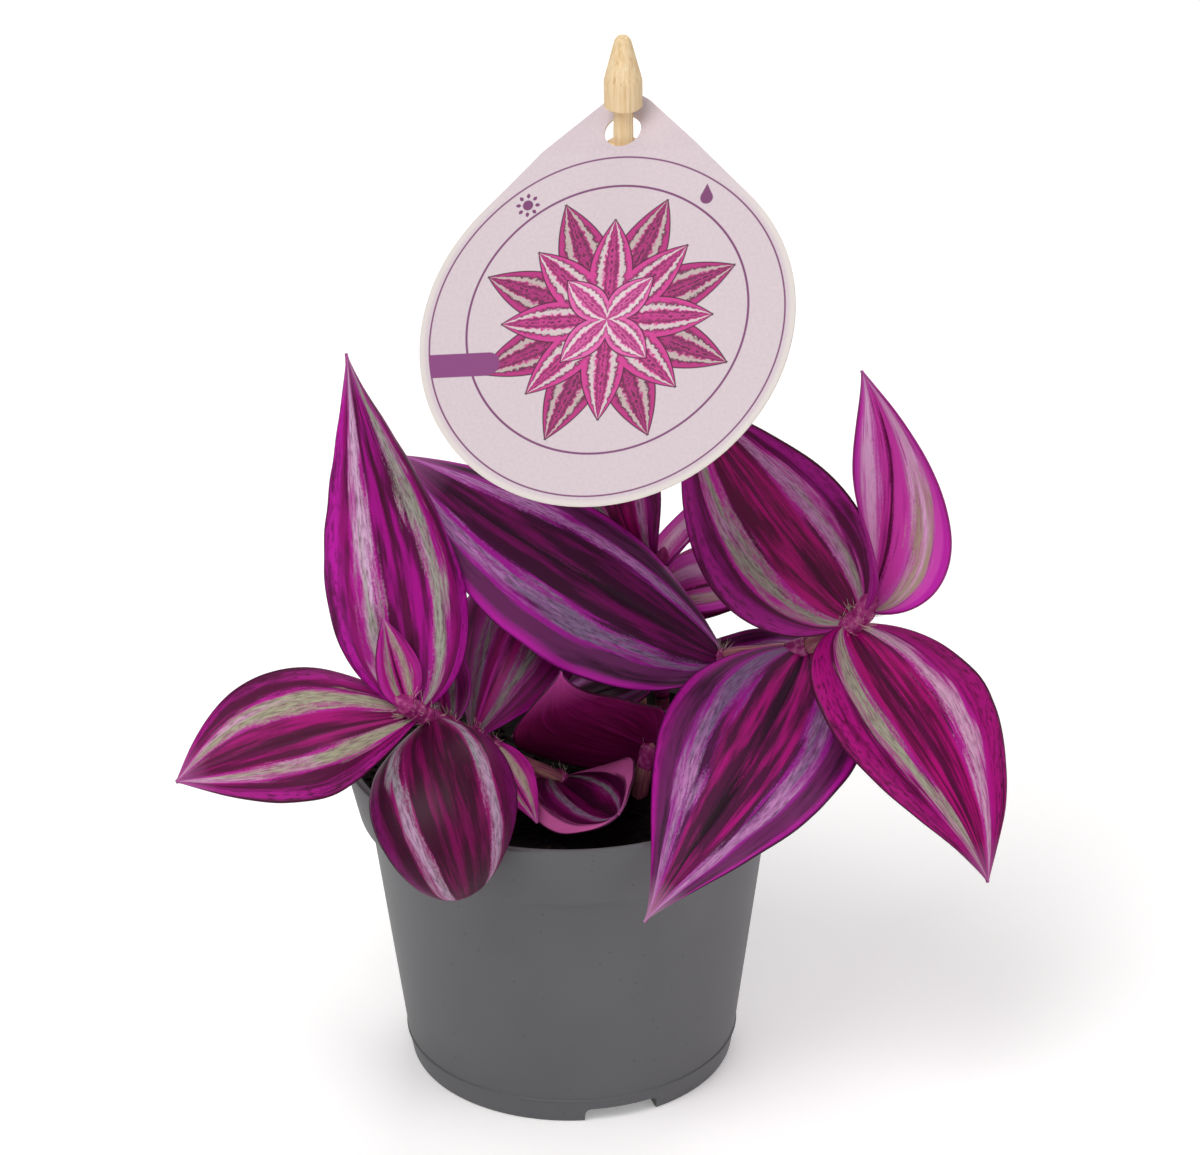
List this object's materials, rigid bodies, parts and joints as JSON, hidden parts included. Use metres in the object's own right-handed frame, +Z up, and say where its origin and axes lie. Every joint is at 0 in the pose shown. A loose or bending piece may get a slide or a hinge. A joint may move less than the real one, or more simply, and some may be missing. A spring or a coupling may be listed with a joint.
{
  "type": "potted tradescantia",
  "caption": "Potted tradescantia: shoots of striped purple and silver leaves in a grey plastic grower's pot, with a card label hanging on a round wooden peg.",
  "frame": {"origin": "centre of the pot's flat resting face, on the surface that it stands on", "axes": "+Z up along the pot's axis; -Y towards the viewer of the picture, +X to the viewer's right"},
  "size_m": [0.2157, 0.1377, 0.283],
  "materials": {
    "pot_plastic": "satin",
    "peat_compost": "crumbly",
    "peg_wood": "raw",
    "label_card": "smooth",
    "stem": "satin",
    "leaf": "satin"
  },
  "bodies": {
    "root": {"grower_pot": "pot_plastic", "potting_soil": "peat_compost", "round_peg": "peg_wood", "card_label": "label_card", "stem_left": "stem", "leaf_left_young": "leaf", "leaf_left_upright": "leaf", "leaf_left_level": "leaf", "leaf_left_hanging": "leaf", "leaf_left_shaded": "leaf", "leaf_left_inner": "leaf", "leaf_left_small": "leaf", "leaf_left_low": "leaf", "stem_right": "stem", "leaf_right_upright": "leaf", "leaf_right_back": "leaf", "leaf_right_outer": "leaf", "leaf_right_front": "leaf", "leaf_right_great": "leaf", "leaf_right_hidden": "leaf", "leaf_right_low": "leaf", "stem_back": "stem", "leaf_back_narrow": "leaf", "leaf_back_upright": "leaf", "leaf_back_right": "leaf", "leaf_back_rear": "leaf", "leaf_back_left": "leaf"}
  },
  "joints": []
}
